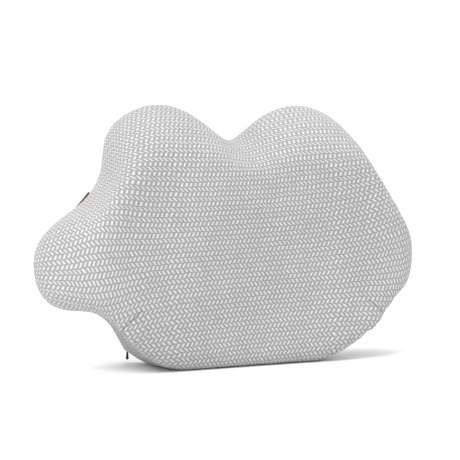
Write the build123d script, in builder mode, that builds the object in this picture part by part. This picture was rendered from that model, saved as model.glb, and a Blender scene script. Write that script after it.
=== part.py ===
"""A contoured lumbar support cushion: a moulded foam core in a liner and a zipped knit cover.

Seen from the sitter's side the outline has two upper lobes with a dip between them, a wing at each
flank and a broad rounded base. -Y is the sitter's side, +Y the chair's side, and the cushion stands
on Z = 0 with the origin in the middle of its base.
"""

from build123d import *
import os
from math import hypot, sqrt

os.makedirs("parts", exist_ok=True)

# Depths of the body, in millimetres
FRONT_Y = -62.0  # foremost part of the sitter's face
WIDEST_Y = 13.0  # where the outline is widest
BACK_Y = 58.0  # flat chair-side face
FACE_HOLLOW = 13.0  # how far the middle of the face is set back
HOLLOW_HALF_WIDTH = 180.0  # half the width of that hollow
HOLLOW_RADIUS = (HOLLOW_HALF_WIDTH**2 + FACE_HOLLOW**2) / (2 * FACE_HOLLOW)
HOLLOW_Y = FRONT_Y + FACE_HOLLOW - HOLLOW_RADIUS  # where the axis of its curve stands

# Layers, each given by how far its outside lies within the cover's outside
COVER_THICKNESS = 1.5
LINER_INSET = 2.8
LINER_THICKNESS = 0.5
FOAM_INSET = 3.9

# Half outline from the middle of the base up to the dip between the lobes. Each landmark has its
# place (x, z) where the body is widest, its place on the front ridge, how square the side between
# the two is (1 is a straight bevel, 2 a quarter ellipse), and how far the flat back lies within
# the widest outline.
LANDMARKS = [
    ((0, -4), (0, 12), 2.2, 21),  # middle of the base
    ((28, -4), (33, 12), 2.2, 21),  # along the flat base
    ((56, -4), (66, 12), 2.1, 21),  # along the flat base
    ((84, -4), (98, 12), 2.0, 21),  # end of the flat base
    ((118, 12), (146, 23), 1.6, 8),  # base corner
    ((141, 42), (174, 47), 1.3, 14),  # corner under the wing
    ((180, 66), (189, 72), 1.5, 26),  # underside of the wing
    ((220, 73), (194, 95), 1.6, 31),  # wing, lower shoulder
    ((239, 106), (195, 118), 1.5, 32),  # wing tip
    ((234, 144), (196, 146), 1.5, 32),  # wing, upper shoulder
    ((181, 189), (193, 174), 1.5, 30),  # hollow above the wing
    ((157, 226), (180, 196), 1.6, 30),  # flank of the lobe
    ((149, 266), (151, 212), 1.7, 30),  # shoulder of the lobe
    ((98, 298), (103, 218), 1.5, 30),  # top of the lobe
    ((38, 279), (42, 206), 1.5, 30),  # inner side of the lobe
    ((0, 257), (0, 196), 1.5, 30),  # dip between the lobes
]
CORNER_UNDER_WING = 5  # its place in the list
BACK_SQUARENESS = 2.3
BACK_STATIONS = [1.0, 0.93, 0.8, 0.55, 0.25]
FRONT_STATIONS = [0.0, 0.25, 0.45, 0.65, 0.8, 0.92, 1.0]

# Zip along the lower edge of the back
ZIP_Z = 20.0
ZIP_HALF_LENGTH = 116.5
SLOT_HALF_LENGTH = 119.0
SLOT_HEIGHT = 7.6
TAPE_THICKNESS = 0.6
TAPE_OUTER_Y = BACK_Y - 1.7
TAPE_GAP = 1.3
UPPER_TAPE_WIDTH = 9.4
LOWER_TAPE_WIDTH = 3.6
COIL_THICKNESS = 1.4
COIL_WIDTH = 1.8
COIL_GAP = 1.1
STOP_LENGTH = 1.6
STOP_HEIGHT = 4.4

# Slider and puller
SLIDER_X = -109.5
SLIDER_LENGTH = 8.5
SLIDER_HEIGHT = 6.4
PLATE_THICKNESS = 0.8
SLIDER_OUTER_Y = BACK_Y + 0.3
FLANGE_THICKNESS = 0.5
FLANGE_DEPTH = 1.5
WEB_THICKNESS = 0.5
WEB_LENGTH = 2.5
INNER_PLATE_HEIGHT = 5.0
BAIL_Y = BACK_Y + 2.6
BAIL_RADIUS = 0.5
BAIL_HALF_SPAN = 2.6
HINGE_CLEARANCE = 0.06
KNUCKLE_RADIUS = 1.1
KNUCKLE_LENGTH = 2.4
PULLER_LENGTH = 17.0
PULLER_WIDTH = 3.4
PULLER_NECK_WIDTH = 1.5
PULLER_THICKNESS = 1.0

# Seams and trim
SEAM_WIDTH = 1.6
SEAM_INNER_Y = BACK_Y - COVER_THICKNESS
SEAM_OUTER_Y = BACK_Y + 0.7
DART_RADIUS = 0.6
DART_STATIONS = [0.25, 0.65, 0.92]  # where it runs forwards under the wing
DART_AT_RIDGE = (173.2, -60.4, 48.2)
DART_ON_FACE = [(170, 52), (158, 61), (146, 70)]
LEATHER_THICKNESS = 1.1
TAG_WIDTH = 24.0
TAG_LENGTH = 21.0
TAG_CENTRE = (-150.7, 175.4)
TAG_Y = BACK_Y + 1.2
TAG_ANGLE = 138.0  # direction in which the tag sticks out, from +X towards +Z
TAG_TUCK = 2.0  # how far the tag runs into the seam
STITCH_LENGTH = 2.6
STITCH_WIDTH = 0.6
STITCH_HEIGHT = 0.35
STITCH_PITCH = 4.0
LIP_STITCH_GAP = 3.0  # from the slot's edge to the row of stitches above it
TAG_STITCH_INSET = 9.0  # from the seam to the row of stitches across the tag
LABEL_WIDTH = 32.0
LABEL_HEIGHT = 18.0
LABEL_THICKNESS = 0.35
LABEL_X = 62.0
LABEL_TOP_GAP = 4.0  # from the upper tape to the label


def closed(half):
    """The half outline followed by its mirror image, as one loop of points."""
    return half + [(-x, z) for x, z in reversed(half[1:-1])]


def moved_in(half, distances):
    """The half outline with every point moved inwards, square to the line through its neighbours."""
    first_mirrored = (-half[1][0], half[1][1])
    last_mirrored = (-half[-2][0], half[-2][1])
    neighbours = zip([first_mirrored] + half[:-1], half[1:] + [last_mirrored])
    moved = []
    for (x, z), distance, (before, after) in zip(half, distances, neighbours):
        run_x = after[0] - before[0]
        run_z = after[1] - before[1]
        share = distance / hypot(run_x, run_z)
        moved.append((x - run_z * share, z + run_x * share))
    return moved


def turned_in(station, squareness):
    """How far the side has turned in at a station between its start (0) and its end (1)."""
    return 1 - (1 - station**squareness) ** (1 / squareness)


def front_outline(station):
    """Outline between the widest plane (station 0) and the front ridge (station 1)."""
    half = []
    for (wide_x, wide_z), (ridge_x, ridge_z), squareness, _ in LANDMARKS:
        turn = turned_in(station, squareness)
        half.append((wide_x + (ridge_x - wide_x) * turn, wide_z + (ridge_z - wide_z) * turn))
    return half


def back_outline(station):
    """Outline between the widest plane (station 0) and the flat back (station 1)."""
    widest = [landmark[0] for landmark in LANDMARKS]
    turn = turned_in(station, BACK_SQUARENESS)
    return moved_in(widest, [landmark[3] * turn for landmark in LANDMARKS])


def evenly_in(half, inset):
    return moved_in(half, [inset] * len(half))


def facing_front(y):
    """A plane at depth y, with x to the right and z upwards, facing the sitter."""
    return Plane.XZ.offset(-y)


def body(inset):
    """The cushion's solid shape, with its whole surface moved inwards by the inset."""
    sections = []
    for station in BACK_STATIONS:
        y = WIDEST_Y + station * (BACK_Y - inset - WIDEST_Y)
        sections.append((y, evenly_in(back_outline(station), inset)))
    for station in FRONT_STATIONS:
        y = WIDEST_Y + station * (FRONT_Y + inset - WIDEST_Y)
        sections.append((y, evenly_in(front_outline(station), inset)))
    with BuildPart() as shape:
        for y, half in sections:
            with BuildSketch(facing_front(y)):
                with BuildLine():
                    Spline(*closed(half), periodic=True)
                make_face()
        loft()
        with BuildSketch(Plane.XY.offset(-20)):
            with Locations((0, HOLLOW_Y)):
                Circle(HOLLOW_RADIUS + inset)
        extrude(amount=360, mode=Mode.SUBTRACT)
        split(bisect_by=Plane.XY.offset(inset), keep=Keep.TOP)
    return shape.part


def back_plate(inset, from_y, to_y):
    """A flat plate with the outline of the back, moved inwards by the inset."""
    with BuildPart() as plate:
        with BuildSketch(facing_front(to_y)):
            with BuildLine():
                Spline(*closed(evenly_in(back_outline(1.0), inset)), periodic=True)
            make_face()
        extrude(amount=to_y - from_y)
    return plate.part


def cut_block(size, centre):
    with BuildPart() as block:
        with Locations(centre):
            Box(*size)
    return block.part


def save(part, name):
    part.label = name
    export_step(part, f"parts/{name}.step")


outer_body = body(0)
slot = cut_block((2 * SLOT_HALF_LENGTH, 30, SLOT_HEIGHT), (0, BACK_Y, ZIP_Z))
slider_groove = cut_block((2 * SLOT_HALF_LENGTH, 9, SLOT_HEIGHT), (0, BACK_Y, ZIP_Z))

# Foam core, with a shallow groove that the slider's inner plate runs in
with BuildPart() as foam_core:
    add(body(FOAM_INSET))
    add(slider_groove, mode=Mode.SUBTRACT)
save(foam_core.part, "foam_core")

# Liner around the foam
with BuildPart() as inner_liner:
    add(body(LINER_INSET))
    add(body(LINER_INSET + LINER_THICKNESS), mode=Mode.SUBTRACT)
    add(slider_groove, mode=Mode.SUBTRACT)
save(inner_liner.part, "inner_liner")

# Dart seams: each runs forwards under the wing, over the ridge and a short way up the face
dart_line = []
for station in DART_STATIONS:
    x, z = front_outline(station)[CORNER_UNDER_WING]
    dart_line.append((x, WIDEST_Y + station * (FRONT_Y - WIDEST_Y), z))
dart_line.append(DART_AT_RIDGE)
for x, z in DART_ON_FACE:
    dart_line.append((x, HOLLOW_Y + sqrt(HOLLOW_RADIUS**2 - x**2), z))
with BuildPart() as dart_seam_right:
    with BuildLine() as dart_path:
        Spline(*dart_line)
    with BuildSketch(Plane(origin=dart_path.line @ 0, z_dir=dart_path.line % 0)):
        Circle(DART_RADIUS)
    sweep()
save(dart_seam_right.part, "dart_seam_right")
with BuildPart() as dart_seam_left:
    add(dart_seam_right.part)
    mirror(about=Plane.YZ, mode=Mode.REPLACE)
save(dart_seam_left.part, "dart_seam_left")

# Leather tag: a strip folded in two and caught in the seam, above the left wing
tag_plane = Plane(
    origin=(TAG_CENTRE[0], TAG_Y, TAG_CENTRE[1]),
    x_dir=Vector(1, 0, 0).rotate(Axis.Y, -TAG_ANGLE),
    z_dir=Vector(1, 0, 0).rotate(Axis.Y, 90 - TAG_ANGLE),
)
fold_radius = LEATHER_THICKNESS + 0.1
with BuildPart() as leather_tag:
    with BuildSketch(tag_plane.offset(-TAG_WIDTH / 2)):
        with Locations(((TAG_LENGTH - fold_radius - TAG_TUCK) / 2, 0)):
            Rectangle(TAG_LENGTH - fold_radius + TAG_TUCK, 2 * fold_radius)
        with Locations((TAG_LENGTH - fold_radius, 0)):
            Circle(fold_radius)
        with Locations(((TAG_LENGTH - fold_radius - TAG_TUCK) / 2, 0)):
            Rectangle(TAG_LENGTH - fold_radius + TAG_TUCK, 0.2, mode=Mode.SUBTRACT)
    extrude(amount=TAG_WIDTH)
save(leather_tag.part, "leather_tag")

# Stitches across the tag, on both of its faces
with BuildPart() as tag_stitches:
    stitch_plane = Plane(origin=tag_plane.origin, x_dir=tag_plane.x_dir, z_dir=tag_plane.y_dir)
    for face_offset in (fold_radius, -fold_radius - STITCH_HEIGHT):
        with BuildSketch(stitch_plane.offset(face_offset)):
            with Locations((TAG_STITCH_INSET, 0)):
                with GridLocations(0, STITCH_PITCH, 1, int(TAG_WIDTH / STITCH_PITCH)):
                    SlotOverall(STITCH_LENGTH, STITCH_WIDTH, rotation=90)
        extrude(amount=STITCH_HEIGHT)
save(tag_stitches.part, "tag_stitches")

# Cover: one panel wraps the face and the flanks and comes up to the lower lip of the zip's slot,
# the other is the flat back
below_slot = cut_block(
    (2 * SLOT_HALF_LENGTH, 30, 40), (0, BACK_Y, ZIP_Z + SLOT_HEIGHT / 2 - 20)
)
with BuildPart() as back_opening:
    add(back_plate(-SEAM_WIDTH / 2, BACK_Y - 3, BACK_Y + 1))
    add(below_slot, mode=Mode.SUBTRACT)
with BuildPart() as cover_front_panel:
    add(outer_body)
    add(body(COVER_THICKNESS), mode=Mode.SUBTRACT)
    add(back_opening.part, mode=Mode.SUBTRACT)
    add(slot, mode=Mode.SUBTRACT)
    add(dart_seam_right.part, mode=Mode.SUBTRACT)
    add(dart_seam_left.part, mode=Mode.SUBTRACT)
    add(leather_tag.part, mode=Mode.SUBTRACT)
save(cover_front_panel.part, "cover_front_panel")
with BuildPart() as cover_back_panel:
    add(back_plate(SEAM_WIDTH / 2, SEAM_INNER_Y, BACK_Y))
    add(below_slot, mode=Mode.SUBTRACT)
    add(leather_tag.part, mode=Mode.SUBTRACT)
save(cover_back_panel.part, "cover_back_panel")

# Perimeter seam between the two panels, which gives way to the zip along the base
with BuildPart() as perimeter_seam:
    add(back_plate(-SEAM_WIDTH / 2, SEAM_INNER_Y, SEAM_OUTER_Y))
    add(back_plate(SEAM_WIDTH / 2, SEAM_INNER_Y - 1, SEAM_OUTER_Y + 1), mode=Mode.SUBTRACT)
    add(below_slot, mode=Mode.SUBTRACT)
    add(leather_tag.part, mode=Mode.SUBTRACT)
save(perimeter_seam.part, "perimeter_seam")

# Zip tapes, sewn behind the lips of the slot
inside_cover = body(COVER_THICKNESS + 0.1)
tape_edge = TAPE_GAP / 2
for name, low_z, high_z in (
    ("zip_tape_upper", ZIP_Z + tape_edge, ZIP_Z + tape_edge + UPPER_TAPE_WIDTH),
    ("zip_tape_lower", ZIP_Z - tape_edge - LOWER_TAPE_WIDTH, ZIP_Z - tape_edge),
):
    with BuildPart() as zip_tape:
        with Locations((0, TAPE_OUTER_Y - TAPE_THICKNESS / 2, (low_z + high_z) / 2)):
            Box(2 * ZIP_HALF_LENGTH, TAPE_THICKNESS, high_z - low_z)
        add(inside_cover, mode=Mode.INTERSECT)
    save(zip_tape.part, name)

# Coils along the facing edges of the tapes
coil_half_length = ZIP_HALF_LENGTH - 2 * STOP_LENGTH
for name, side in (("zip_coil_upper", 1), ("zip_coil_lower", -1)):
    coil_z = ZIP_Z + side * (COIL_GAP + COIL_WIDTH) / 2
    with BuildPart() as zip_coil:
        with Locations((0, TAPE_OUTER_Y + COIL_THICKNESS / 2, coil_z)):
            Box(2 * coil_half_length, COIL_THICKNESS, COIL_WIDTH)
        fillet(zip_coil.edges().filter_by(Axis.X).group_by(Axis.Y)[-1], radius=0.6)
    save(zip_coil.part, name)

# A moulded stop across both tapes at each end of the coils
for name, side in (("zip_stop_left", -1), ("zip_stop_right", 1)):
    with BuildPart() as zip_stop:
        with Locations((side * (coil_half_length + STOP_LENGTH), TAPE_OUTER_Y + 0.6, ZIP_Z)):
            Box(STOP_LENGTH, 1.2, STOP_HEIGHT)
        fillet(zip_stop.edges().filter_by(Axis.Y), radius=0.5)
    save(zip_stop.part, name)

# Stitches that hold the upper lip of the slot to its tape
with BuildPart() as zip_lip_stitches:
    stitch_count = int(2 * (ZIP_HALF_LENGTH - 9) / STITCH_PITCH)
    with BuildSketch(Plane.XZ.offset(-BACK_Y - STITCH_HEIGHT)):
        with Locations((0, ZIP_Z + SLOT_HEIGHT / 2 + LIP_STITCH_GAP)):
            with GridLocations(STITCH_PITCH, 0, stitch_count, 1):
                SlotOverall(STITCH_LENGTH, STITCH_WIDTH)
    extrude(amount=STITCH_HEIGHT)
save(zip_lip_stitches.part, "zip_lip_stitches")

# Slider: two plates joined by a web that runs between the coils, with flanges over them
inner_plate_y = TAPE_OUTER_Y - TAPE_THICKNESS - 0.4
with BuildPart() as slider_body:
    with BuildSketch(Plane.XZ.offset(-SLIDER_OUTER_Y - PLATE_THICKNESS)):
        with Locations((SLIDER_X, ZIP_Z)):
            RectangleRounded(SLIDER_LENGTH, SLIDER_HEIGHT, 2)
    extrude(amount=PLATE_THICKNESS)
    with Locations((SLIDER_X, inner_plate_y - PLATE_THICKNESS / 2, ZIP_Z)):
        Box(SLIDER_LENGTH - 1, PLATE_THICKNESS, INNER_PLATE_HEIGHT)
    web_depth = SLIDER_OUTER_Y - inner_plate_y
    web_x = SLIDER_X - (SLIDER_LENGTH - 1 - WEB_LENGTH) / 2
    with Locations((web_x, inner_plate_y + web_depth / 2, ZIP_Z)):
        Box(WEB_LENGTH, web_depth, WEB_THICKNESS)
    for side in (1, -1):
        flange_z = ZIP_Z + side * (SLIDER_HEIGHT - FLANGE_THICKNESS) / 2
        with Locations((SLIDER_X, SLIDER_OUTER_Y - FLANGE_DEPTH / 2, flange_z)):
            Box(SLIDER_LENGTH - 4, FLANGE_DEPTH, FLANGE_THICKNESS)
save(slider_body.part, "slider_body")

# Bail: a round bar along the zip, carried on two posts
plate_top_y = SLIDER_OUTER_Y + PLATE_THICKNESS
with BuildPart() as slider_bail:
    with BuildSketch(Plane.YZ.offset(SLIDER_X - BAIL_HALF_SPAN - BAIL_RADIUS)):
        with Locations((BAIL_Y, ZIP_Z)):
            Circle(BAIL_RADIUS)
    extrude(amount=2 * (BAIL_HALF_SPAN + BAIL_RADIUS))
    with BuildSketch(Plane.XZ.offset(-BAIL_Y)):
        with Locations((SLIDER_X, ZIP_Z)):
            with GridLocations(2 * BAIL_HALF_SPAN, 0, 2, 1):
                Rectangle(2 * BAIL_RADIUS, 2 * BAIL_RADIUS)
    extrude(amount=BAIL_Y - plate_top_y)
save(slider_bail.part, "slider_bail")

# Puller: a knuckle that turns on the bail's bar, a neck and a teardrop blade
with BuildPart() as puller:
    with BuildSketch(Plane.YZ.offset(SLIDER_X - KNUCKLE_LENGTH / 2)):
        with Locations((BAIL_Y, ZIP_Z)):
            Circle(KNUCKLE_RADIUS)
    extrude(amount=KNUCKLE_LENGTH)
    blade_end = PULLER_LENGTH - PULLER_WIDTH / 2
    with BuildSketch(Plane.XZ.offset(-BAIL_Y - PULLER_THICKNESS / 2)):
        with BuildLine():
            Polyline(
                (SLIDER_X - PULLER_NECK_WIDTH / 2, ZIP_Z - 0.8),
                (SLIDER_X + PULLER_NECK_WIDTH / 2, ZIP_Z - 0.8),
                (SLIDER_X + PULLER_NECK_WIDTH / 2, ZIP_Z - 4.0),
                (SLIDER_X + PULLER_WIDTH / 2, ZIP_Z - blade_end),
                (SLIDER_X - PULLER_WIDTH / 2, ZIP_Z - blade_end),
                (SLIDER_X - PULLER_NECK_WIDTH / 2, ZIP_Z - 4.0),
                close=True,
            )
        make_face()
        with Locations((SLIDER_X, ZIP_Z - blade_end)):
            Circle(PULLER_WIDTH / 2)
    extrude(amount=PULLER_THICKNESS)
    with BuildSketch(Plane.YZ.offset(SLIDER_X - KNUCKLE_LENGTH)):
        with Locations((BAIL_Y, ZIP_Z)):
            Circle(BAIL_RADIUS + HINGE_CLEARANCE)
    extrude(amount=2 * KNUCKLE_LENGTH, mode=Mode.SUBTRACT)
save(puller.part, "puller")

# Care label, folded flat between the back panel and the liner
label_z = ZIP_Z + tape_edge + UPPER_TAPE_WIDTH + LABEL_TOP_GAP + LABEL_HEIGHT / 2
with BuildPart() as care_label:
    with Locations((LABEL_X, SEAM_INNER_Y - 0.3 - LABEL_THICKNESS / 2, label_z)):
        Box(LABEL_WIDTH, LABEL_THICKNESS, LABEL_HEIGHT)
save(care_label.part, "care_label")
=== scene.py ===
"""The lumbar support cushion's visible surfaces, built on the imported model's frame."""

import bpy
import bmesh
import numpy as np
from math import cos, pi, radians, sin
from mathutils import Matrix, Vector, noise


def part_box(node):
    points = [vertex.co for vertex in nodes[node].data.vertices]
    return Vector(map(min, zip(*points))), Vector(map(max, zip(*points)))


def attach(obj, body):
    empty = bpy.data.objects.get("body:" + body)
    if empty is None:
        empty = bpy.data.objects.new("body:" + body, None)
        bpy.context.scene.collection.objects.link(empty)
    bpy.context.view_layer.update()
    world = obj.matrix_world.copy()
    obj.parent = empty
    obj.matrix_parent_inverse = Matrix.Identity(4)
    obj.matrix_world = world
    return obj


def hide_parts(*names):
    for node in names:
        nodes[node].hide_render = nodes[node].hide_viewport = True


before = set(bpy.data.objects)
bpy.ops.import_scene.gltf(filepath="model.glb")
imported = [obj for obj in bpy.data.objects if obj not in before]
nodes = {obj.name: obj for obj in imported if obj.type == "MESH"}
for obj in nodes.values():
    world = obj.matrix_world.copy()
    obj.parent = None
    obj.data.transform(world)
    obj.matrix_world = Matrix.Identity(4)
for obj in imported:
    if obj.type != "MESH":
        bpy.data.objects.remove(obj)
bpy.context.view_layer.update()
scene = bpy.context.scene
MM = 0.001

# ---------------------------------------------------------------- sizes of the design, in metres
FOAM_INSET = 3.9 * MM  # from the cover's outside to the foam
BACK_Y = 58 * MM
ZIP_Z = 20 * MM
SLOT_HALF_LENGTH = 119 * MM
SLOT_HALF_HEIGHT = 3.8 * MM
LIP_Z = ZIP_Z + SLOT_HALF_HEIGHT + 0.3 * MM  # just above the slot's upper lip
NEAR_BACK_Y = 50 * MM  # everything on the flat back lies behind this
TAG_Y = BACK_Y + 1.2 * MM
TAG_ANGLE = radians(138)  # direction in which the tag sticks out, from +X towards +Z
ROW_HEIGHT = 5.1 * MM  # of the knit
STITCH_PITCH = 3.65 * MM  # of the knit
SHELL_VOXEL = 4.5 * MM
CLOTH_FRAMES = 20
SWELL = 1.0 * MM  # how much of the swelling the cover's stretch lets show
ROUNDING_ROUNDS = 110
UNEVENNESS = 0.55 * MM
LINER_INSET = 2.8 * MM


# ---------------------------------------------------------------- mesh helpers
def coordinates(mesh):
    values = np.empty(3 * len(mesh.vertices))
    mesh.vertices.foreach_get("co", values)
    return values.reshape(-1, 3)


def vertex_normals(mesh):
    values = np.empty(3 * len(mesh.vertices))
    mesh.vertices.foreach_get("normal", values)
    return values.reshape(-1, 3)


def set_coordinates(mesh, points):
    mesh.vertices.foreach_set("co", np.ascontiguousarray(points).ravel())
    mesh.update()


def edge_list(mesh):
    values = np.empty(2 * len(mesh.edges), dtype=np.int64)
    mesh.edges.foreach_get("vertices", values)
    return values.reshape(-1, 2)


def smoothed(values, edges, rounds, strength=0.5):
    """Values of the vertices, evened out with their neighbours'."""
    count = len(values)
    degree = np.bincount(edges.ravel(), minlength=count)[:, None]
    for _ in range(rounds):
        total = np.zeros_like(values)
        for axis in range(values.shape[1]):
            total[:, axis] += np.bincount(edges[:, 0], values[edges[:, 1], axis], count)
            total[:, axis] += np.bincount(edges[:, 1], values[edges[:, 0], axis], count)
        values = values + strength * (total / degree - values)
    return values


def applied(obj):
    """The object's mesh with its modifiers applied, and the modifiers removed."""
    depsgraph = bpy.context.evaluated_depsgraph_get()
    mesh = bpy.data.meshes.new_from_object(obj.evaluated_get(depsgraph))
    obj.modifiers.clear()
    obj.data = mesh
    return mesh


def new_object(name, mesh, material):
    obj = bpy.data.objects.new(name, mesh)
    scene.collection.objects.link(obj)
    mesh.materials.clear()
    mesh.materials.append(material)
    mesh.shade_smooth()
    return obj


def copied(node, name, material):
    """A new object with a copy of a CAD node's mesh."""
    return new_object(name, nodes[node].data.copy(), material)


def remeshed(obj, voxel):
    modifier = obj.modifiers.new("Remesh", "REMESH")
    modifier.mode = "VOXEL"
    modifier.voxel_size = voxel
    modifier.use_smooth_shade = True
    return applied(obj)


def soften(obj, rounds):
    """Rounds off the edges of a finely remeshed piece."""
    set_coordinates(obj.data, smoothed(coordinates(obj.data), edge_list(obj.data), rounds))


def placed(obj, body, slot, *replaced):
    """Puts a piece on its body, in place of the CAD nodes named. The slot is not used."""
    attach(obj, body)
    if replaced:
        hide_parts(*replaced)


def tube(name, paths, radius, material, sides=8):
    """One mesh of round tubes, each along a path of points, with rounded ends."""
    verts = []
    faces = []
    for path in paths:
        path = [Vector(p) for p in path]
        side_dir = None
        rings = []
        for i, point in enumerate(path):
            ahead = path[min(i + 1, len(path) - 1)] - path[max(i - 1, 0)]
            ahead.normalize()
            if side_dir is None:
                side_dir = ahead.orthogonal().normalized()
            side_dir = (side_dir - ahead * side_dir.dot(ahead)).normalized()
            other = ahead.cross(side_dir)
            ring = []
            for k in range(sides):
                angle = 2 * pi * k / sides
                ring.append(len(verts))
                verts.append(point + radius * (cos(angle) * side_dir + sin(angle) * other))
            rings.append(ring)
        for first, second in zip(rings, rings[1:]):
            for k in range(sides):
                after = (k + 1) % sides
                faces.append((first[k], first[after], second[after], second[k]))
        for ring, end, inner in ((rings[0], path[0], path[1]), (rings[-1], path[-1], path[-2])):
            tip = len(verts)
            verts.append(end + (end - inner).normalized() * radius * 0.6)
            for k in range(sides):
                face = (ring[(k + 1) % sides], ring[k], tip)
                faces.append(face if ring is rings[0] else face[::-1])
    mesh = bpy.data.meshes.new(name)
    mesh.from_pydata(verts, [], faces)
    return new_object(name, mesh, material)


# ---------------------------------------------------------------- material helpers
class Shader:
    """A small helper that adds and links nodes of one material."""

    def __init__(self, name, color, roughness):
        self.material = bpy.data.materials.new(name)
        self.material.use_nodes = True
        self.tree = self.material.node_tree
        self.surface = self.tree.nodes["Principled BSDF"]
        self.surface.inputs["Base Color"].default_value = (*color, 1)
        self.surface.inputs["Roughness"].default_value = roughness

    def value(self, socket, source):
        if isinstance(source, bpy.types.NodeSocket):
            self.tree.links.new(source, socket)
        else:
            socket.default_value = source

    def add(self, kind, **settings):
        node = self.tree.nodes.new(kind)
        for name, setting in settings.items():
            setattr(node, name, setting)
        return node

    def math(self, operation, *sources):
        node = self.add("ShaderNodeMath", operation=operation)
        for socket, source in zip(node.inputs, sources):
            self.value(socket, source)
        return node.outputs[0]

    def ramp(self, source, low, high, low_value=0.0, high_value=1.0):
        """A smooth step from low_value at low to high_value at high."""
        node = self.add("ShaderNodeMapRange", interpolation_type="SMOOTHSTEP")
        for socket, given in zip(node.inputs, (source, low, high, low_value, high_value)):
            self.value(socket, given)
        return node.outputs[0]

    def noise(self, scale, detail=3.0):
        node = self.add("ShaderNodeTexNoise")
        node.inputs["Scale"].default_value = scale
        node.inputs["Detail"].default_value = detail
        self.value(node.inputs["Vector"], self.add("ShaderNodeTexCoord").outputs["Object"])
        return node.outputs["Fac"]

    def mix(self, factor, first, second):
        node = self.add("ShaderNodeMix", data_type="RGBA")
        self.value(node.inputs["Factor"], factor)
        for name, source in (("A", first), ("B", second)):
            socket = [s for s in node.inputs if s.name == name and s.type == "RGBA"][0]
            self.value(socket, source if not isinstance(source, tuple) else (*source, 1))
        return [s for s in node.outputs if s.type == "RGBA"][0]

    def bump(self, height, distance):
        node = self.add("ShaderNodeBump")
        node.inputs["Distance"].default_value = distance
        self.value(node.inputs["Height"], height)
        self.value(self.surface.inputs["Normal"], node.outputs["Normal"])

    def color(self, source):
        self.value(self.surface.inputs["Base Color"], source)

    def roughness(self, source):
        self.value(self.surface.inputs["Roughness"], source)


# ---------------------------------------------------------------- materials
def knit_material(name, shade):
    """Jacquard knit: rows of raised slanted stitches, each row slanting against the last."""
    s = Shader(name, (0.5, 0.5, 0.49), 0.9)
    s.surface.inputs["Sheen Weight"].default_value = 0.25
    s.surface.inputs["Sheen Roughness"].default_value = 0.5
    s.surface.inputs["Specular IOR Level"].default_value = 0.2
    fabric = s.add("ShaderNodeUVMap", uv_map="Fabric")
    split = s.add("ShaderNodeSeparateXYZ")
    s.value(split.inputs[0], fabric.outputs[0])
    along = split.outputs[0]
    across = split.outputs[1]
    # uneven yarn tension moves the stitches a little
    wobble = s.math("MULTIPLY", s.math("SUBTRACT", s.noise(60.0, 2.0), 0.5), 0.5)
    row = s.math("ADD", s.math("MULTIPLY", across, 1 / ROW_HEIGHT), wobble)
    row_number = s.math("FLOOR", row)
    in_row = s.math("SUBTRACT", s.math("SUBTRACT", row, row_number), 0.5)
    parity = s.math("FLOORED_MODULO", row_number, 2.0)
    slant = s.math("MULTIPLY_ADD", parity, 2.0, -1.0)
    column = s.math("ADD", s.math("MULTIPLY", along, 1 / STITCH_PITCH), wobble)
    leaning = s.math("ADD", column, s.math("MULTIPLY", s.math("MULTIPLY", slant, in_row), 0.62))
    leaning = s.math("ADD", leaning, s.math("MULTIPLY", parity, 0.5))
    stitch_number = s.math("FLOOR", leaning)
    in_stitch = s.math("SUBTRACT", s.math("SUBTRACT", leaning, stitch_number), 0.5)
    off_centre = s.math("ABSOLUTE", in_stitch)
    # a number of its own for each stitch
    seed = s.add("ShaderNodeCombineXYZ")
    s.value(seed.inputs[0], stitch_number)
    s.value(seed.inputs[1], row_number)
    own = s.add("ShaderNodeTexWhiteNoise", noise_dimensions="3D")
    s.value(own.inputs["Vector"], seed.outputs[0])
    own = own.outputs["Value"]
    ridge = s.ramp(off_centre, 0.04, 0.42, 1.0, 0.0)
    ends = s.ramp(s.math("ABSOLUTE", in_row), 0.3, 0.52, 1.0, 0.0)
    stitch = s.math("MULTIPLY", ridge, ends)
    level = s.math("MULTIPLY", stitch, s.math("MULTIPLY_ADD", own, 0.3, 0.8))
    fibres = s.noise(2600.0, 2.0)
    broad = s.noise(9.0, 2.0)
    # shade painted into the grooves; the lighter crowns: yarn tone plus a painted highlight
    groove_painted_shade = s.mix(fibres, (0.21 * shade,) * 3, (0.31 * shade,) * 3)
    middle = s.mix(fibres, (0.32 * shade,) * 3, (0.41 * shade,) * 3)
    crown_tone_and_painted_highlight = s.mix(
        fibres,
        (0.49 * shade, 0.49 * shade, 0.48 * shade),
        (0.62 * shade, 0.62 * shade, 0.61 * shade),
    )
    color = s.mix(s.ramp(level, 0.0, 0.4), groove_painted_shade, middle)
    color = s.mix(s.ramp(level, 0.4, 0.93), color, crown_tone_and_painted_highlight)
    tint = s.ramp(broad, 0.3, 0.7, 0.95, 1.04)
    tinted = s.add("ShaderNodeVectorMath", operation="SCALE")
    s.value(tinted.inputs[0], color)
    s.value(tinted.inputs["Scale"], tint)
    s.color(tinted.outputs[0])
    s.roughness(s.ramp(stitch, 0.0, 1.0, 0.95, 0.8))
    s.bump(s.math("MULTIPLY_ADD", fibres, 0.12, stitch), 0.9 * MM)
    return s.material


def cloth_material(name, dark, light, threads, roughness=0.9):
    """Plain woven or knitted cloth with so many threads to a metre."""
    s = Shader(name, light, roughness)
    s.surface.inputs["Sheen Weight"].default_value = 0.15
    where = s.add("ShaderNodeTexCoord").outputs["Object"]
    waves = []
    for direction in ("X", "Z"):
        wave = s.add("ShaderNodeTexWave", wave_type="BANDS", bands_direction=direction)
        wave.inputs["Scale"].default_value = threads / (2 * pi)
        wave.inputs["Distortion"].default_value = 0.6
        s.value(wave.inputs["Vector"], where)
        waves.append(wave.outputs["Fac"])
    weave = s.math("MULTIPLY", *waves)
    lightness = s.math("MULTIPLY_ADD", s.noise(40.0), 0.4, s.math("MULTIPLY", weave, 0.6))
    s.color(s.mix(lightness, dark, light))
    s.roughness(s.ramp(weave, 0.0, 1.0, roughness, roughness - 0.12))
    s.bump(weave, 0.15 * MM)
    return s.material


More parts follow.
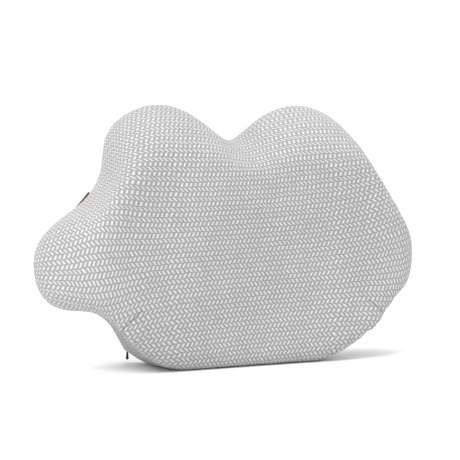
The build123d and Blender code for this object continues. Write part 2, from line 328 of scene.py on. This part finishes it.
def thread_material(name, dark, light):
    """Twisted sewing thread."""
    s = Shader(name, light, 0.75)
    s.surface.inputs["Sheen Weight"].default_value = 0.2
    strands = s.noise(3500.0, 2.0)
    s.color(s.mix(strands, dark, light))
    s.roughness(s.ramp(strands, 0.2, 0.8, 0.85, 0.6))
    s.bump(strands, 0.12 * MM)
    return s.material


def leather_material():
    """Brown leather with a pebbled grain."""
    s = Shader("leather_brown", (0.12, 0.05, 0.03), 0.5)
    cells = s.add("ShaderNodeTexVoronoi", feature="DISTANCE_TO_EDGE")
    cells.inputs["Scale"].default_value = 900.0
    s.value(cells.inputs["Vector"], s.add("ShaderNodeTexCoord").outputs["Object"])
    grain = s.ramp(cells.outputs["Distance"], 0.0, 0.12)
    patches = s.noise(220.0)
    color = s.mix(patches, (0.085, 0.03, 0.018), (0.2, 0.085, 0.05))
    s.color(s.mix(grain, (0.04, 0.014, 0.009), color))
    s.roughness(s.ramp(patches, 0.3, 0.7, 0.42, 0.6))
    s.bump(grain, 0.08 * MM)
    return s.material


def enamel_material():
    """Black enamel over die-cast zinc, worn lighter in patches."""
    s = Shader("slider_enamel", (0.012, 0.012, 0.013), 0.35)
    s.surface.inputs["Coat Weight"].default_value = 0.3
    wear = s.noise(900.0, 4.0)
    s.color(s.mix(s.ramp(wear, 0.62, 0.8), (0.01, 0.01, 0.011), (0.06, 0.06, 0.06)))
    s.roughness(s.ramp(wear, 0.3, 0.7, 0.28, 0.45))
    s.bump(s.noise(1500.0), 0.03 * MM)
    return s.material


def nylon_material():
    """Grey nylon, drawn and moulded."""
    s = Shader("nylon_grey", (0.4, 0.4, 0.39), 0.4)
    s.surface.inputs["Coat Weight"].default_value = 0.1
    streaks = s.noise(1200.0, 3.0)
    s.color(s.mix(streaks, (0.3, 0.3, 0.29), (0.46, 0.46, 0.45)))
    s.roughness(s.ramp(streaks, 0.3, 0.7, 0.35, 0.5))
    s.bump(streaks, 0.03 * MM)
    return s.material


def foam_material():
    """Open-cell foam with fine pores."""
    s = Shader("foam_cells", (0.85, 0.82, 0.7), 0.95)
    pores = s.add("ShaderNodeTexVoronoi", feature="F1")
    pores.inputs["Scale"].default_value = 700.0
    s.value(pores.inputs["Vector"], s.add("ShaderNodeTexCoord").outputs["Object"])
    depth = s.ramp(pores.outputs["Distance"], 0.1, 0.6)
    # the pores are painted darker by their depth: painted shade in their hollows
    s.color(s.mix(depth, (0.66, 0.62, 0.5), (0.88, 0.85, 0.75)))
    s.roughness(s.ramp(depth, 0.0, 1.0, 1.0, 0.9))
    s.bump(depth, 0.4 * MM)
    return s.material


knit = knit_material("jacquard_knit", 1.0)
knit_back = knit_material("jacquard_knit_back", 0.97)
seam_thread = thread_material("seam_thread", (0.16, 0.16, 0.155), (0.34, 0.34, 0.33))
pale_thread = thread_material("pale_thread", (0.36, 0.36, 0.35), (0.62, 0.62, 0.6))
tag_thread = thread_material("waxed_thread", (0.3, 0.18, 0.11), (0.55, 0.36, 0.24))
leather = leather_material()
enamel = enamel_material()
nylon = nylon_material()
tape_cloth = cloth_material("zip_tape_weave", (0.22, 0.22, 0.215), (0.42, 0.42, 0.41), 2400)
liner_cloth = cloth_material("liner_tricot", (0.7, 0.7, 0.69), (0.9, 0.9, 0.89), 1800)
label_cloth = cloth_material("label_satin", (0.74, 0.74, 0.73), (0.92, 0.92, 0.92), 4200, 0.5)
foam_cells = foam_material()

# ---------------------------------------------------------------- camera
TARGET = Vector((-7.9, -2.0, 153.8)) * MM
AZIMUTH = radians(-28.1)
ELEVATION = radians(3.1)
DISTANCE = 2.029
towards_camera = Vector((
    sin(AZIMUTH) * cos(ELEVATION),
    -cos(AZIMUTH) * cos(ELEVATION),
    sin(ELEVATION),
))
camera_data = bpy.data.cameras.new("camera")
camera_data.sensor_width = 36
camera_data.lens = 138.0
camera = bpy.data.objects.new("camera", camera_data)
scene.collection.objects.link(camera)
camera.location = TARGET + towards_camera * DISTANCE
camera.rotation_euler = towards_camera.to_track_quat("Z", "Y").to_euler()
scene.camera = camera

# ---------------------------------------------------------------- the cover's form
# It starts from the foam, is blown up inside the cover's stretch and then evened out.
form_mesh = nodes["foam_core"].data.copy()
builder = bmesh.new()
builder.from_mesh(form_mesh)
filler = bmesh.ops.create_cube(builder, size=1.0)["verts"]  # it closes the zip's groove
for vertex in filler:
    vertex.co.x *= 2 * SLOT_HALF_LENGTH + 2 * MM
    vertex.co.y = BACK_Y - FOAM_INSET - 3.5 * MM + vertex.co.y * 7 * MM
    vertex.co.z = ZIP_Z + vertex.co.z * 9 * MM
builder.to_mesh(form_mesh)
builder.free()
form = new_object("form", form_mesh, knit)
remeshed(form, SHELL_VOXEL)
start = coordinates(form.data)
edges = edge_list(form.data)
start = smoothed(start, edges, 4)
set_coordinates(form.data, start)
outward = vertex_normals(form.data)

cloth = form.modifiers.new("Cloth", "CLOTH")
cloth.settings.quality = 5
cloth.settings.mass = 0.3
cloth.settings.tension_stiffness = 15
cloth.settings.compression_stiffness = 15
cloth.settings.bending_stiffness = 2
cloth.settings.use_pressure = True
cloth.settings.uniform_pressure_force = 4
cloth.settings.effector_weights.gravity = 0
cloth.point_cache.frame_start = 1
cloth.point_cache.frame_end = CLOTH_FRAMES
for step in range(1, CLOTH_FRAMES + 1):
    scene.frame_set(step)
blown = coordinates(applied(form))
scene.frame_set(1)
moved = blown - start
rise = np.sum(moved * outward, axis=1, keepdims=True)
swelling = (rise - rise.mean()) / (rise.std() + 1e-9)
points = start + outward * (FOAM_INSET + np.clip(swelling, -1.5, 1.5) * SWELL * 0.35)
# the padding rounds off the edge between the hollowed face and the flanks, without shrinking it
rounded = points
for _ in range(ROUNDING_ROUNDS):
    rounded = smoothed(rounded, edges, 1, 0.5)
    rounded = smoothed(rounded, edges, 1, -0.508)
facing = np.clip((-8 * MM - points[:, 1:2]) / (30 * MM), 0, 1)
points += (rounded - points) * facing**2 * (3 - 2 * facing)
points = smoothed(points, edges, 2)
uneven = np.array([
    noise.noise(Vector(p) * 28) + 0.5 * noise.noise(Vector(p) * 60) for p in points
])
points += outward * uneven[:, None] * UNEVENNESS
points[:, 2] = np.maximum(points[:, 2], 0.0)
points[:, 1] = np.minimum(points[:, 1], BACK_Y + 0.5 * MM)
set_coordinates(form.data, points)
outward = vertex_normals(form.data)
for name, node, inset, material, slot in (
    ("liner_bag", "inner_liner", LINER_INSET, liner_cloth, "liner"),
    ("foam_body", "foam_core", FOAM_INSET, foam_cells, "foam"),
):
    inner = new_object(name, form.data.copy(), material)
    set_coordinates(inner.data, points - outward * inset)
    placed(inner, "cushion", slot, node)

# ---------------------------------------------------------------- outline of the back panel
def rim_segments(node, level):
    """Edges round the face of a flat CAD node at a given depth, as pairs of (x, z) points."""
    mesh = nodes[node].data
    sides = {}
    for face in mesh.polygons:
        ring = [mesh.vertices[i].co for i in face.vertices]
        if face.normal.y > 0.9 and all(abs(p.y - level) < 0.05 * MM for p in ring):
            for a, b in zip(ring, ring[1:] + ring[:1]):
                a = (round(a.x, 6), round(a.z, 6))
                b = (round(b.x, 6), round(b.z, 6))
                sides[(a, b)] = True
    return [pair for pair in sides if (pair[1], pair[0]) not in sides]


def in_order(segments):
    """The segments' points, one after the other around the loop."""
    following = dict(segments)
    first = segments[0][0]
    loop = [first]
    while following.get(loop[-1], first) != first and len(loop) <= len(segments):
        loop.append(following[loop[-1]])
    return np.array(loop)


def distance_to(loop, x, z):
    """Distance of points from a closed line, negative inside it, and whether the nearest part of
    the line is the straight upper lip of the zip's slot."""
    a = loop
    b = np.roll(loop, -1, axis=0)
    nearest = np.full(len(x), 1.0)
    lip = np.zeros(len(x), dtype=bool)
    inside = np.zeros(len(x), dtype=bool)
    for (ax, az), (bx, bz) in zip(a, b):
        run_x = bx - ax
        run_z = bz - az
        length = run_x**2 + run_z**2 + 1e-18
        share = np.clip(((x - ax) * run_x + (z - az) * run_z) / length, 0, 1)
        gap = np.hypot(x - ax - share * run_x, z - az - share * run_z)
        closer = gap < nearest
        nearest = np.where(closer, gap, nearest)
        lip = np.where(closer, max(az, bz) < LIP_Z, lip)
        if az != bz:
            crosses = ((az > z) != (bz > z)) & (x < ax + (z - az) * run_x / (bz - az))
            inside ^= crosses
    return np.where(inside, -nearest, nearest), lip


back_loop = in_order(rim_segments("cover_back_panel", BACK_Y))


# ---------------------------------------------------------------- lie of the front panel's knit
def bell(value, centre, spread):
    return np.exp(-(((value - centre) / spread) ** 2))


def turned(field, normal, angle):
    """Tangent vectors turned about the surface's normal."""
    return field * np.cos(angle)[:, None] + np.cross(normal, field) * np.sin(angle)[:, None]


def solved(points, edges, field, keep, guess):
    """The surface coordinate whose slope is nearest to the field, over the vertices kept, by
    conjugate gradients from a guess."""
    edges = edges[keep[edges].all(axis=1)]
    first = edges[:, 0]
    second = edges[:, 1]
    slope = 0.5 * (field[first] + field[second])
    wanted = np.sum((points[second] - points[first]) * slope, axis=1)
    count = len(points)
    degree = np.bincount(edges.ravel(), minlength=count).astype(float)
    degree[degree == 0] = 1.0
    right = np.bincount(second, wanted, count) - np.bincount(first, wanted, count)

    def laplacian(values):
        step = values[second] - values[first]
        return np.bincount(second, step, count) - np.bincount(first, step, count)

    values = guess.copy()
    residual = right - laplacian(values)
    scaled = residual / degree
    direction = scaled.copy()
    energy = residual @ scaled
    for _ in range(1500):
        pushed = laplacian(direction)
        share = energy / (direction @ pushed + 1e-30)
        values += share * direction
        residual -= share * pushed
        scaled = residual / degree
        new_energy = residual @ scaled
        if new_energy < 1e-16:
            break
        direction = scaled + (new_energy / energy) * direction
        energy = new_energy
    return values


normals = vertex_normals(form.data)
near_back = np.full(len(points), 1.0)
behind = points[:, 1] > BACK_Y - 3 * MM
near_back[behind], _ = distance_to(back_loop, points[behind, 0], points[behind, 2])
on_front = near_back > -9 * MM
upwards = np.stack([np.zeros(len(points)), normals[:, 2], np.ones(len(points))], axis=1)
upwards -= normals * np.sum(upwards * normals, axis=1, keepdims=True)
upwards /= np.linalg.norm(upwards, axis=1, keepdims=True)
upwards = smoothed(upwards, edges, 12)
upwards -= normals * np.sum(upwards * normals, axis=1, keepdims=True)
upwards /= np.linalg.norm(upwards, axis=1, keepdims=True)
x_place = points[:, 0] / MM
z_place = points[:, 2] / MM
flank = np.clip(-normals[:, 0], 0, 1)  # 1 on the left flank, 0 on the face
# degrees by which the rows and the columns of stitches are turned from level and plumb
row_tilt = 3.0 + 4.0 * bell(x_place, 170, 90) + 9.0 * flank
row_tilt += 10.0 * flank * bell(z_place, 220, 60)
column_tilt = row_tilt + 12.0 * bell(z_place, 230, 60) * (1 - flank)
rows = turned(np.cross(upwards, normals), normals, np.radians(row_tilt))
columns = turned(upwards, normals, np.radians(column_tilt))
across_rows = np.cross(normals, rows)
across_columns = np.cross(columns, normals)
along_place = solved(points, edges, across_columns, on_front, points[:, 0])
across_place = solved(points, edges, across_rows, on_front, points[:, 2])
along_place[~on_front] = 0.0
across_place[~on_front] = 0.0
loop_vertices = np.empty(len(form.data.loops), dtype=np.int64)
form.data.loops.foreach_get("vertex_index", loop_vertices)
fabric = form.data.uv_layers.new(name="Fabric")
placed_uv = np.stack([along_place[loop_vertices], across_place[loop_vertices]], axis=1)
fabric.data.foreach_set("uv", np.ascontiguousarray(placed_uv).ravel())

# ---------------------------------------------------------------- darts
DART_POINTS = [
    (145, -6, 43), (160, -36, 45), (170, -54, 47), (173, -60, 49),
    (168, -61, 53.5), (158, -60, 61.5), (146, -57.6, 70.6),
]  # from under the wing, over the ridge and up the face, in millimetres


def on_surface(line, points, outward):
    """A line of points moved along the surface's normals onto the nearest part of the surface."""
    found = []
    for p in line:
        gap = np.linalg.norm(points - p, axis=1)
        nearest = np.argsort(gap)[:6]
        weight = 1 / (gap[nearest] + 0.5 * MM)
        weight /= weight.sum()
        normal = (outward[nearest] * weight[:, None]).sum(axis=0)
        normal /= np.linalg.norm(normal)
        level = ((points[nearest] - p) @ normal * weight).sum()
        found.append(np.append(p + normal * level, normal))
    return np.array(found)


def curved(line, parts):
    """A smooth line of points through the given ones."""
    line = np.asarray(line, dtype=float)
    padded = np.vstack([2 * line[0] - line[1], line, 2 * line[-1] - line[-2]])
    found = []
    for a, b, c, d in zip(padded, padded[1:], padded[2:], padded[3:]):
        for k in range(parts):
            t = k / parts
            found.append(0.5 * (2 * b + (c - a) * t + (2 * a - 5 * b + 4 * c - d) * t**2
                                + (3 * b - a - 3 * c + d) * t**3))
    found.append(line[-1])
    return np.array(found)


def distance_to_path(path, p):
    nearest = np.full(len(p), 1.0)
    for a, b in zip(path, path[1:]):
        run = b - a
        share = np.clip((p - a) @ run / (run @ run), 0, 1)
        gap = np.linalg.norm(p - a - share[:, None] * run, axis=1)
        nearest = np.minimum(nearest, gap)
    return nearest


dart_lines = {}
dart_normals = {}
for name, side in (("dart_seam_left", -1), ("dart_seam_right", 1)):
    drawn = curved(np.array(DART_POINTS) * MM * (side, 1, 1), 6)
    settled = on_surface(drawn, points, outward)
    dart_lines[name] = settled[:, :3]
    dart_normals[name] = settled[:, 3:]

# ---------------------------------------------------------------- cut the form into its two panels
subdivision = form.modifiers.new("Subdivision", "SUBSURF")
subdivision.levels = 1
subdivision.render_levels = 1
applied(form)


def cut_along(builder, field):
    """Cuts faces where a value given at every vertex changes sign. Returns the new value layer."""
    layer = builder.verts.layers.float.new("field")
    for vertex, value in zip(builder.verts, field):
        vertex[layer] = 0.0 if abs(value) < 0.25 * MM else value
    crossing = [e for e in builder.edges if e.verts[0][layer] * e.verts[1][layer] < 0]
    for edge in crossing:
        vertex = edge.verts[0]
        here = vertex[layer]
        there = edge.other_vert(vertex)[layer]
        _, added = bmesh.utils.edge_split(edge, vertex, here / (here - there))
        added[layer] = 0.0
    on_line = [v for v in builder.verts if v[layer] == 0.0]
    bmesh.ops.connect_verts(builder, verts=on_line)
    return layer


def face_sign(face, layer):
    return sum(v[layer] for v in face.verts)


def slot_field(p):
    """Negative inside the zip's slot."""
    past_end = np.abs(p[:, 0]) - SLOT_HALF_LENGTH
    past_lip = np.abs(p[:, 2] - ZIP_Z) - SLOT_HALF_HEIGHT
    return np.where(p[:, 1] > NEAR_BACK_Y, np.maximum(past_end, past_lip), 0.05)


def back_field(p):
    """Negative on the back panel."""
    field = np.full(len(p), 0.05)
    near = p[:, 1] > NEAR_BACK_Y
    field[near], _ = distance_to(back_loop, p[near, 0], p[near, 2])
    return field


builder = bmesh.new()
builder.from_mesh(form.data)
builder.verts.ensure_lookup_table()
here = np.array([v.co for v in builder.verts])
layer = cut_along(builder, slot_field(here))
gone = [f for f in builder.faces if face_sign(f, layer) < 0]
bmesh.ops.delete(builder, geom=gone, context="FACES")
builder.verts.layers.float.remove(layer)
here = np.array([v.co for v in builder.verts])
layer = cut_along(builder, back_field(here))
back_faces = [f for f in builder.faces if face_sign(f, layer) < 0]
uv_layer = builder.loops.layers.uv["Fabric"]
for face in back_faces:
    for corner in face.loops:
        corner[uv_layer].uv = (-corner.vert.co.x, corner.vert.co.z)
is_back = {f.index for f in back_faces}
back_builder = builder.copy()
bmesh.ops.delete(builder, geom=back_faces, context="FACES")
back_builder.faces.ensure_lookup_table()
rest = [f for f in back_builder.faces if f.index not in is_back]
bmesh.ops.delete(back_builder, geom=rest, context="FACES")


def refine(builder, close_enough):
    """Divides the faces near a seam, so that its valley is smooth."""
    builder.verts.ensure_lookup_table()
    p = np.array([v.co for v in builder.verts])
    near = close_enough(p)
    picked = [e for e in builder.edges if near[e.verts[0].index] and near[e.verts[1].index]]
    bmesh.ops.subdivide_edges(builder, edges=picked, cuts=1, use_grid_fill=True)
    builder.verts.index_update()
    crowded = [f for f in builder.faces if len(f.verts) > 4]
    bmesh.ops.triangulate(builder, faces=crowded)


def near_seams(p):
    """Whether points lie close to the perimeter seam or a dart."""
    near = np.abs(back_field(p)) < 5 * MM
    for line in dart_lines.values():
        near |= distance_to_path(line, p) < 7 * MM
    return near


def finished(builder, name, material):
    """A panel as an object, with valleys along its seams and hems round the zip's slot."""
    builder.verts.index_update()
    builder.verts.ensure_lookup_table()
    mesh = bpy.data.meshes.new(name)
    builder.to_mesh(mesh)
    builder.free()
    obj = new_object(name, mesh, material)
    # valleys along the seams, and a soft roll along the zip's lips
    p = coordinates(mesh)
    normal = vertex_normals(mesh)
    seam_gap = np.full(len(p), 1.0)
    near = p[:, 1] > 48 * MM
    gap, at_lip = distance_to(back_loop, p[near, 0], p[near, 2])
    seam_gap[near] = np.where(at_lip, 1.0, np.abs(gap))
    depth = 1.5 * MM * np.exp(-((seam_gap / (1.7 * MM)) ** 2))
    rise = 0.5 * MM * np.exp(-(((seam_gap - 5 * MM) / (2.2 * MM)) ** 2))
    for line in dart_lines.values():
        gap = distance_to_path(line, p)
        depth += 1.1 * MM * np.exp(-((gap / (1.2 * MM)) ** 2))
        rise += 0.45 * MM * np.exp(-(((gap - 3.5 * MM) / (1.8 * MM)) ** 2))
    set_coordinates(mesh, p + normal * (rise - depth)[:, None])
    # hems: the edges of the zip's slot fold inwards
    hem = bmesh.new()
    hem.from_mesh(mesh)
    ends = SLOT_HALF_LENGTH + 0.4 * MM
    high = ZIP_Z + SLOT_HALF_HEIGHT + 0.4 * MM
    low = ZIP_Z - SLOT_HALF_HEIGHT - 0.4 * MM

    def on_slot(v):
        return v.co.y > NEAR_BACK_Y and abs(v.co.x) < ends and low < v.co.z < high

    rim = [e for e in hem.edges if e.is_boundary and on_slot(e.verts[0]) and on_slot(e.verts[1])]
    if rim:
        folded = bmesh.ops.extrude_edge_only(hem, edges=rim)["geom"]
        for v in folded:
            if isinstance(v, bmesh.types.BMVert):
                v.co.y -= 1.2 * MM
    hem.to_mesh(mesh)
    hem.free()
    mesh.shade_smooth()
    return obj


refine(builder, near_seams)
refine(back_builder, near_seams)
front_panel = finished(builder, "cover_front", knit)
back_panel = finished(back_builder, "cover_back", knit_back)
bpy.data.objects.remove(form)
placed(front_panel, "cushion", "knit", "cover_front_panel")
placed(back_panel, "cushion", "knit_back", "cover_back_panel")


# ---------------------------------------------------------------- stitches in the seams
def stitches_along(line, length, pitch, height, outward):
    """Short stitches along a line of points, each raised in its middle in the direction outward."""
    steps = np.linalg.norm(np.diff(line, axis=0), axis=1)
    place = np.concatenate([[0], np.cumsum(steps)])
    paths = []
    for k in range(int(place[-1] / pitch)):
        begin = (k + 0.5) * pitch - length / 2
        stops = begin + length * np.linspace(0, 1, 5)
        middle = np.stack([np.interp(stops, place, line[:, axis]) for axis in range(3)], axis=1)
        arch = height * (1 - (2 * np.linspace(0, 1, 5) - 1) ** 2)
        paths.append(middle + np.outer(arch, outward))
    return paths


seam_y = np.full(len(back_loop), BACK_Y - 0.9 * MM)
seam_points = np.stack([back_loop[:, 0], seam_y, back_loop[:, 1]], axis=1)
low_lip = seam_points[:, 2] < LIP_Z
first = int(np.argmax(np.roll(low_lip, 1) & ~low_lip))
seam_points = np.roll(seam_points, -first, axis=0)
low_lip = np.roll(low_lip, -first)
seam_points = seam_points[~low_lip]
seam_paths = stitches_along(seam_points, 3.0 * MM, 3.6 * MM, 0.3 * MM, (0, 1, 0))
seam = tube("seam_stitches", seam_paths, 0.35 * MM, seam_thread, sides=6)
placed(seam, "cushion", "seam", "perimeter_seam")
for name, line in dart_lines.items():
    sunk = line - dart_normals[name] * 0.8 * MM
    mean_normal = dart_normals[name].mean(axis=0)
    paths = stitches_along(sunk, 3.4 * MM, 3.7 * MM, 0.15 * MM, mean_normal)
    dart = tube(name + "_stitches", paths, 0.4 * MM, seam_thread, sides=6)
    placed(dart, "cushion", "seam", name)

# ---------------------------------------------------------------- zip
COIL_PITCH = 1.25 * MM
COIL_END_GAP = 0.3 * MM
COIL_POINTS = 10  # to one turn
for name, side in (("zip_coil_upper", 1), ("zip_coil_lower", -1)):
    low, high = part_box(name)
    turns = int((high[0] - low[0] - 2 * COIL_END_GAP) / COIL_PITCH)
    middle_y = (low[1] + high[1]) / 2
    middle_z = (low[2] + high[2]) / 2
    path = []
    for k in range(turns * COIL_POINTS + 1):
        angle = 2 * pi * k / COIL_POINTS
        path.append((
            low[0] + COIL_END_GAP + COIL_PITCH * k / COIL_POINTS,
            middle_y - 0.42 * MM * cos(angle),
            middle_z + side * 0.62 * MM * sin(angle),
        ))
    coil = tube(name + "_filament", [path], 0.24 * MM, nylon, sides=6)
    placed(coil, "cushion", "zip_coil", name)
for name in ("zip_stop_left", "zip_stop_right"):
    stop = copied(name, name + "_moulded", nylon)
    remeshed(stop, 0.16 * MM)
    soften(stop, 3)
    placed(stop, "cushion", "zip_coil", name)
for name in ("zip_tape_upper", "zip_tape_lower"):
    tape = copied(name, name + "_woven", tape_cloth)
    remeshed(tape, 0.3 * MM)
    placed(tape, "cushion", "zip_tape", name)


def solid_centres(node):
    """The middle of each separate solid of a CAD node."""
    mesh = nodes[node].data
    builder = bmesh.new()
    builder.from_mesh(mesh)
    bmesh.ops.remove_doubles(builder, verts=builder.verts, dist=0.001 * MM)
    left = set(builder.verts)
    middles = []
    while left:
        grown = [left.pop()]
        group = []
        while grown:
            vertex = grown.pop()
            group.append(vertex.co.copy())
            for edge in vertex.link_edges:
                other = edge.other_vert(vertex)
                if other in left:
                    left.remove(other)
                    grown.append(other)
        total = Vector((0, 0, 0))
        for p in group:
            total += p
        middles.append(total / len(group))
    builder.free()
    return middles


def stitch_row(name, node, direction, middle_y, material):
    """A thread stitch in the place of each solid of a CAD node, raised away from middle_y."""
    paths = []
    direction = Vector(direction).normalized()
    for middle in solid_centres(node):
        face = 1 if middle.y > middle_y else -1
        path = []
        for share in (-1, -0.6, 0, 0.6, 1):
            rise = Vector((0, face * (0.12 * (1 - share * share) - 0.05) * MM, 0))
            path.append(middle + direction * share * 1.25 * MM + rise)
        paths.append(path)
    return tube(name, paths, 0.3 * MM, material, sides=8)


lip_row = stitch_row("zip_lip_thread", "zip_lip_stitches", (1, 0, 0), 0, pale_thread)
placed(lip_row, "cushion", "thread", "zip_lip_stitches")

# ---------------------------------------------------------------- slider and puller, as castings
for node, body, voxel in (
    ("slider_body", "slider", 0.14),
    ("slider_bail", "slider", 0.09),
    ("puller", "puller", 0.12),
):
    casting = copied(node, node + "_cast", enamel)
    remeshed(casting, voxel * MM)
    soften(casting, 2)
    placed(casting, body, "slider_paint", node)

# ---------------------------------------------------------------- leather tag
tag = copied("leather_tag", "tag_folded", leather)
remeshed(tag, 0.3 * MM)
soften(tag, 3)
placed(tag, "cushion", "leather", "leather_tag")
across_tag = (sin(TAG_ANGLE), 0, -cos(TAG_ANGLE))
tag_row = stitch_row("tag_thread", "tag_stitches", across_tag, TAG_Y, tag_thread)
placed(tag_row, "cushion", "tag_thread", "tag_stitches")

# ---------------------------------------------------------------- care label, inside the cover
for material_slot in nodes["care_label"].material_slots:
    material_slot.material = label_cloth

# ---------------------------------------------------------------- floor and light
floor_mesh = bpy.data.meshes.new("floor")
floor_mesh.from_pydata([(-6, -6, 0), (6, -6, 0), (6, 6, 0), (-6, 6, 0)], [], [(0, 1, 2, 3)])
paint = Shader("floor_paint", (0.93, 0.93, 0.93), 0.8)
paint.surface.inputs["Specular IOR Level"].default_value = 0.1
paint.roughness(paint.ramp(paint.noise(3.0), 0.0, 1.0, 0.75, 0.85))
floor_piece = new_object("floor", floor_mesh, paint.material)
floor_piece.location.z = -0.03 * MM


def area_light(name, place, aim, size, power):
    data = bpy.data.lights.new(name, "AREA")
    data.shape = "DISK"
    data.size = size
    data.energy = power
    light = bpy.data.objects.new(name, data)
    scene.collection.objects.link(light)
    light.location = place
    direction = Vector(place) - Vector(aim)
    light.rotation_euler = direction.to_track_quat("Z", "Y").to_euler()


area_light("key", (-1.6, -1.2, 1.9), (0, 0, 0.15), 1.4, 44)
area_light("top", (0.2, 0.3, 2.4), (0, 0, 0.1), 2.0, 18)
area_light("fill", (1.8, -2.2, 1.0), (0, 0, 0.15), 1.8, 3)
world = bpy.data.worlds.new("studio")
world.use_nodes = True
world.node_tree.nodes["Background"].inputs["Color"].default_value = (1, 1, 1, 1)
world.node_tree.nodes["Background"].inputs["Strength"].default_value = 1.08
scene.world = world
scene.view_settings.view_transform = "Standard"
